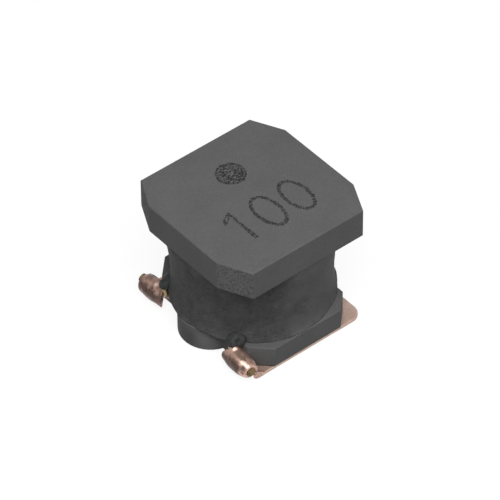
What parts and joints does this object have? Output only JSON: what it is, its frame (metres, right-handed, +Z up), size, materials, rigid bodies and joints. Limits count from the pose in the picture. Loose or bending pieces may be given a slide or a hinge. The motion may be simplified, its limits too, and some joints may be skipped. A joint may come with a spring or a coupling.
{
  "type": "shielded smd inductor",
  "caption": "Resin-shielded drum-core surface-mount power inductor with two flat solder terminals whose rolled ends are welded to the winding's leads.",
  "frame": {"origin": "centre of the footprint on the seating plane, at the undersides of the two terminals", "axes": "+Z up from the board to the top face, the leads and welds on the -X side, one terminal at -Y and the other at +Y"},
  "size_m": [0.005, 0.005, 0.0043],
  "materials": {
    "ferrite": "sintered ferrite, matt, finely grained",
    "magnet_wire": "copper wire under clear gold enamel",
    "resin": "magnetic powder in epoxy, rough and mottled",
    "terminal_copper": "tin-flashed copper sheet, melted smooth at the welds",
    "terminal_glue": "thin dark epoxy",
    "lead_glue": "dark epoxy, wet gloss"
  },
  "bodies": {
    "root": {"ferrite_core": "ferrite", "magnet_wire": "magnet_wire", "resin_shield": "resin", "terminal_front": "terminal_copper", "terminal_rear": "terminal_copper", "terminal_glue_front": "terminal_glue", "terminal_glue_rear": "terminal_glue", "lead_glue_front": "lead_glue", "lead_glue_rear": "lead_glue"}
  },
  "joints": []
}
